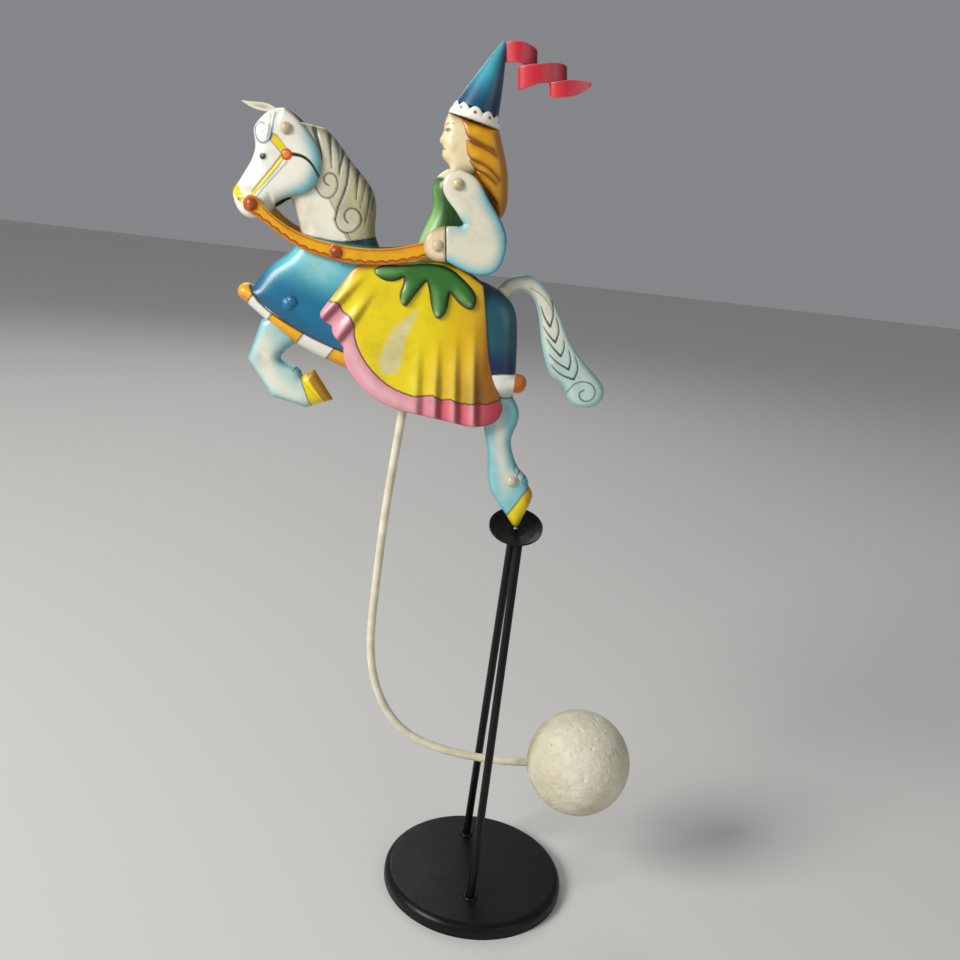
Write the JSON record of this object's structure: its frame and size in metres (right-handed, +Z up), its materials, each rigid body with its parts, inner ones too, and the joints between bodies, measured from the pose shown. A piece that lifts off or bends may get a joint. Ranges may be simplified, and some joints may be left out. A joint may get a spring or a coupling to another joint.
{
  "type": "balancing rocking toy",
  "caption": "Pressed-tin rider on a horse that balances on a point above a stand, kept level by a ball on a bent rod; the head, reins and arms move as a linkage.",
  "frame": {"origin": "centre of the underside of the stand's base disc", "axes": "+Z up; the horse faces -X and its mirror plane is XZ; the stand's legs spread along Y"},
  "size_m": [0.2541, 0.11, 0.4834],
  "materials": {
    "stand_black": "gloss enamel",
    "point_steel": "bare",
    "horse_print": "lithographed tin, satin",
    "coat_print": "lithographed tin, satin",
    "tail_print": "lithographed tin, satin",
    "skirt_print": "lithographed tin, satin",
    "leaf_print": "lithographed tin, satin",
    "bodice_print": "lithographed tin, satin",
    "skin_print": "lithographed tin, satin",
    "hair_print": "lithographed tin, satin",
    "hat_print": "lithographed tin, satin",
    "crown_print": "lithographed tin, satin",
    "ribbon_print": "lithographed tin, satin",
    "rein_print": "lithographed tin, satin",
    "sleeve_print": "lithographed tin, satin",
    "rivet_paint": "painted over",
    "axle_steel": "dulled",
    "rod_paint": "thick white enamel",
    "ball_paint": "rough casting under white enamel",
    "hidden_steel": "raw"
  },
  "bodies": {
    "stand": {"base_disc": "stand_black", "stand_leg_left": "stand_black", "stand_leg_right": "stand_black", "leg_weld_beads": "stand_black", "top_plate": "stand_black"},
    "point": {"pivot_ball": "point_steel"},
    "point_pin": {"pivot_pin": "point_steel"},
    "horse": {"horse_shell_left": "horse_print", "horse_shell_right": "horse_print", "head_axle": "rivet_paint", "front_leg_axle": "rivet_paint", "front_leg_spacers": "hidden_steel", "fetlock_rivets": "rivet_paint", "tail_left": "tail_print", "tail_right": "tail_print", "counterweight_rod": "rod_paint", "rod_socket": "hidden_steel", "counterweight_ball": "ball_paint", "skirt_left": "skirt_print", "skirt_right": "skirt_print", "leaf_peplum_left": "leaf_print", "leaf_peplum_right": "leaf_print", "torso_left": "bodice_print", "torso_right": "bodice_print", "rider_head_left": "skin_print", "rider_head_right": "skin_print", "hair_left": "hair_print", "hair_right": "hair_print", "hat_cone": "hat_print", "hat_crown": "crown_print", "hat_ribbon": "ribbon_print", "shoulder_spacers": "hidden_steel", "shoulder_axle": "rivet_paint"},
    "head": {"head_left": "coat_print", "head_right": "coat_print", "ears": "coat_print", "mouth_axle": "axle_steel"},
    "arms": {"arm_left": "sleeve_print", "arm_right": "sleeve_print", "hand_rivets": "rivet_paint"},
    "front_reins": {"rein_front_left": "rein_print", "rein_front_right": "rein_print"},
    "rear_reins": {"rein_rear_left": "rein_print", "rein_rear_right": "rein_print", "rein_rivets": "axle_steel"},
    "front_legs": {"front_leg_left": "coat_print", "front_leg_right": "coat_print"}
  },
  "joints": [
    {"name": "figure_spin", "type": "hinge", "parent": "stand", "child": "point", "pos_m": [0, 0, 0.231], "axis": [0, 0, 1], "range_deg": [-15, 15]},
    {"name": "figure_rock", "type": "hinge", "parent": "point", "child": "point_pin", "pos_m": [0, 0, 0.231], "axis": [0, 1, 0], "range_deg": [-7, 6]},
    {"name": "figure_lean", "type": "hinge", "parent": "point_pin", "child": "horse", "pos_m": [0, 0, 0.231], "axis": [1, 0, 0], "range_deg": [-2.5, 2.5]},
    {"name": "head_nod", "type": "hinge", "parent": "horse", "child": "head", "pos_m": [-0.14, 0, 0.43], "axis": [0, 1, 0], "range_deg": [-8, 8]},
    {"name": "arms_swing", "type": "hinge", "parent": "horse", "child": "arms", "pos_m": [-0.051, 0, 0.4125], "axis": [0, 1, 0], "range_deg": [-8.9, 8.9]},
    {"name": "front_rein_turn", "type": "hinge", "parent": "head", "child": "front_reins", "pos_m": [-0.1555, 0, 0.3915], "axis": [0, 1, 0], "range_deg": [-9.2, 9.2]},
    {"name": "rear_rein_turn", "type": "hinge", "parent": "arms", "child": "rear_reins", "pos_m": [-0.058, 0, 0.3815], "axis": [0, 1, 0], "range_deg": [-6.9, 6.9]},
    {"name": "front_leg_swing", "type": "hinge", "parent": "horse", "child": "front_legs", "pos_m": [-0.1325, 0, 0.3445], "axis": [0, 1, 0], "range_deg": [-8, 8]}
  ],
  "couplings": [
    {"joint": "arms_swing", "follows": "head_nod", "ratio": 1.0926},
    {"joint": "front_rein_turn", "follows": "head_nod", "ratio": -1.1223},
    {"joint": "rear_rein_turn", "follows": "head_nod", "ratio": -0.8343}
  ]
}
